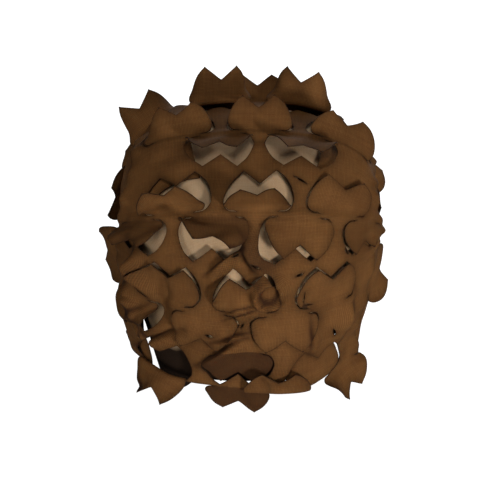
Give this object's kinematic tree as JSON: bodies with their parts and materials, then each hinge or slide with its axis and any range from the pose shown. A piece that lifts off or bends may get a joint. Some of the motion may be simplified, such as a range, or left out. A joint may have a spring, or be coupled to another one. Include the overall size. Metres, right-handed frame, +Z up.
{
  "type": "helmet scrim cover",
  "caption": "Hollow cloth helmet cover: a plain cap under draped panels of leaf-cut scrim whose two-pointed cut leaves stand off to break up the outline.",
  "frame": {"origin": "inner face of the cap at its crown, where the helmet carries the cover", "axes": "+Z up, the front towards -Y, +X to the right in the front view"},
  "size_m": [0.2802, 0.3141, 0.2885],
  "materials": {
    "cap_cloth": "matte tan plain weave",
    "scrim_cloth": "matte brown plain weave with raw cut edges"
  },
  "bodies": {
    "root": {"base_cap": "cap_cloth", "scrim_centre": "scrim_cloth", "scrim_left": "scrim_cloth", "scrim_right": "scrim_cloth"}
  },
  "joints": []
}
